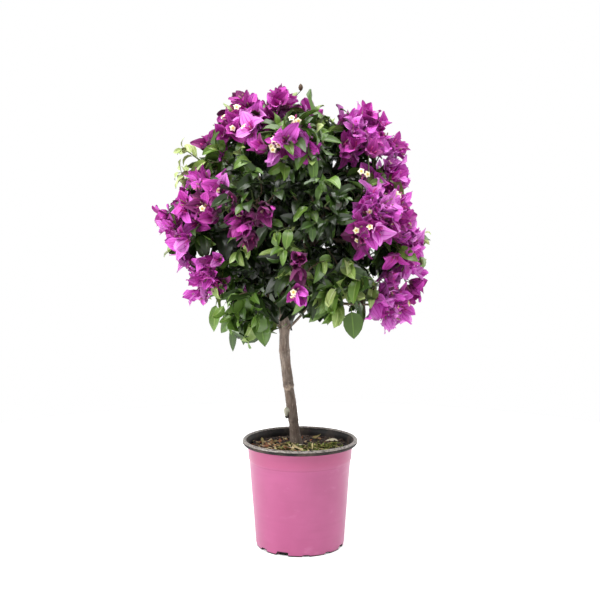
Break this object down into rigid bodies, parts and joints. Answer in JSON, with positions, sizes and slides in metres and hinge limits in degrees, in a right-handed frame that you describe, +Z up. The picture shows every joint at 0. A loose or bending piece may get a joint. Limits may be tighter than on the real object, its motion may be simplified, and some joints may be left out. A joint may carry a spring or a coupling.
{
  "type": "potted bougainvillea on a stem",
  "caption": "Round-headed bougainvillea grown on one bare leaning stem, with magenta blooms and green leaves, in a tapered pink plastic nursery pot with soil.",
  "frame": {"origin": "middle of the pot's flat underside", "axes": "+Z up the stem, +X to the plant's right and -Y its front, the side with the stem leaning to the left"},
  "size_m": [0.4007, 0.3746, 0.6704],
  "materials": {
    "pot_plastic": "satin",
    "soil": "matte",
    "bark": "matte",
    "leaves": "satin",
    "blooms": "matte"
  },
  "bodies": {
    "root": {"pot": "pot_plastic", "soil": "soil", "stem": "bark", "bough_left": "bark", "bough_right": "bark", "bough_front_left": "bark", "bough_front_right": "bark", "bough_back_right": "bark", "bough_back": "bark", "bough_back_left": "bark", "bough_top_left": "bark", "bough_top_right": "bark", "bough_low_left": "bark", "bough_low_right": "bark", "blooms_top_left": "blooms", "blooms_top_right": "blooms", "leaves_top_front": "leaves", "leaves_top_back": "leaves", "leaves_upper_left": "leaves", "leaves_upper_front": "leaves", "leaves_front_left": "leaves", "blooms_shoulder_right": "blooms", "blooms_front_right": "blooms", "blooms_left": "blooms", "blooms_low_left": "blooms", "blooms_right": "blooms", "blooms_low_right": "blooms", "leaves_low_front_left": "leaves", "leaves_low_front": "leaves", "leaves_low_front_right": "leaves", "blooms_back_right": "blooms", "blooms_back": "blooms", "blooms_back_left": "blooms", "leaves_low_back_right": "leaves", "leaves_low_back_left": "leaves"}
  },
  "joints": []
}
